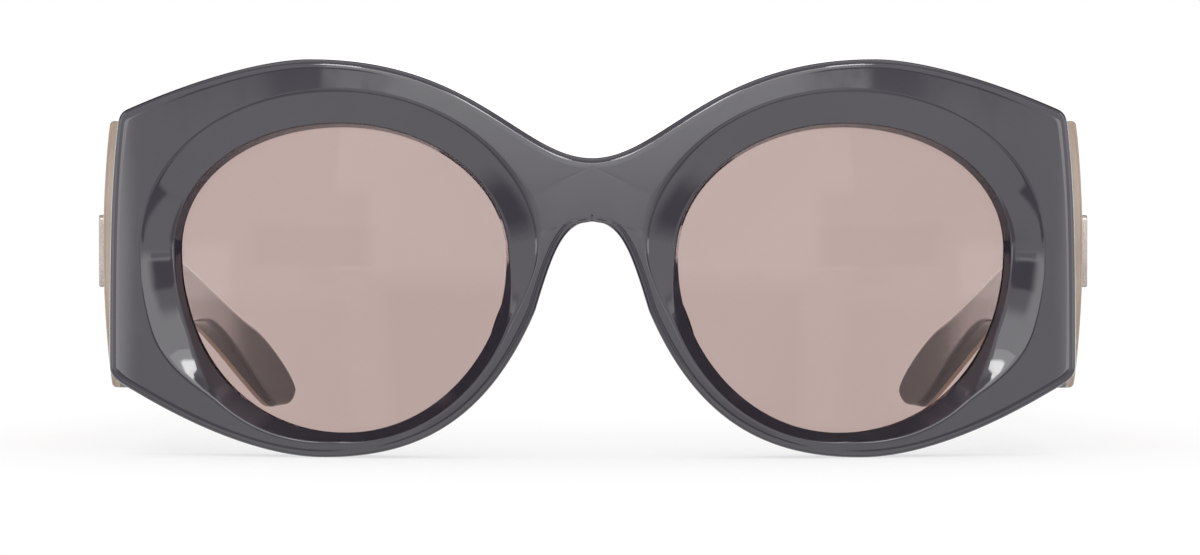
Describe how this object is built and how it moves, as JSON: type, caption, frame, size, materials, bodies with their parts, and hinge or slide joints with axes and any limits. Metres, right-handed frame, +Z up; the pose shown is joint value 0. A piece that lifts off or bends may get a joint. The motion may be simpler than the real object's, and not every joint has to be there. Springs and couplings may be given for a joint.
{
  "type": "sunglasses",
  "caption": "Oversized round sunglasses: thick acetate front with a carved crescent bevel round each lens, and wide folding temples.",
  "frame": {"origin": "middle of the sunglasses in width and depth, at the level of the surface they stand on", "axes": "+Z up, the front faces -Y, +X is to the right in the picture; the two halves mirror each other across X = 0"},
  "size_m": [0.1522, 0.15, 0.0602],
  "materials": {
    "front_acetate": "polished charcoal acetate",
    "temple_acetate": "polished charcoal acetate",
    "side_plate_tan": "polished tan acetate layer",
    "lens_tint": "clear lens with an even rose-brown tint",
    "plaque_silver": "satin warm silver",
    "hinge_steel": "plated nickel silver",
    "core_nickel": "bare nickel silver wire"
  },
  "bodies": {
    "front": {"front_frame": "front_acetate", "nose_pad_left": "front_acetate", "nose_pad_right": "front_acetate", "lens_left": "lens_tint", "lens_right": "lens_tint", "front_hinge_left": "hinge_steel", "front_hinge_right": "hinge_steel", "hinge_screw_left": "hinge_steel", "hinge_screw_right": "hinge_steel"},
    "temple_arm_left": {"temple_left": "temple_acetate", "side_plate_left": "side_plate_tan", "temple_hinge_left": "hinge_steel", "core_wire_left": "core_nickel", "plaque_left": "plaque_silver", "plaque_pins_left": "plaque_silver"},
    "temple_arm_right": {"temple_right": "temple_acetate", "side_plate_right": "side_plate_tan", "temple_hinge_right": "hinge_steel", "core_wire_right": "core_nickel", "plaque_right": "plaque_silver", "plaque_pins_right": "plaque_silver"}
  },
  "joints": [
    {"name": "temple_fold_left", "type": "hinge", "parent": "front", "child": "temple_arm_left", "pos_m": [-0.06774, -0.05534, 0.03115], "axis": [0, 0, 1], "range_deg": [-76, 0]},
    {"name": "temple_fold_right", "type": "hinge", "parent": "front", "child": "temple_arm_right", "pos_m": [0.06774, -0.05534, 0.03115], "axis": [0, 0, 1], "range_deg": [0, 83.5]}
  ]
}
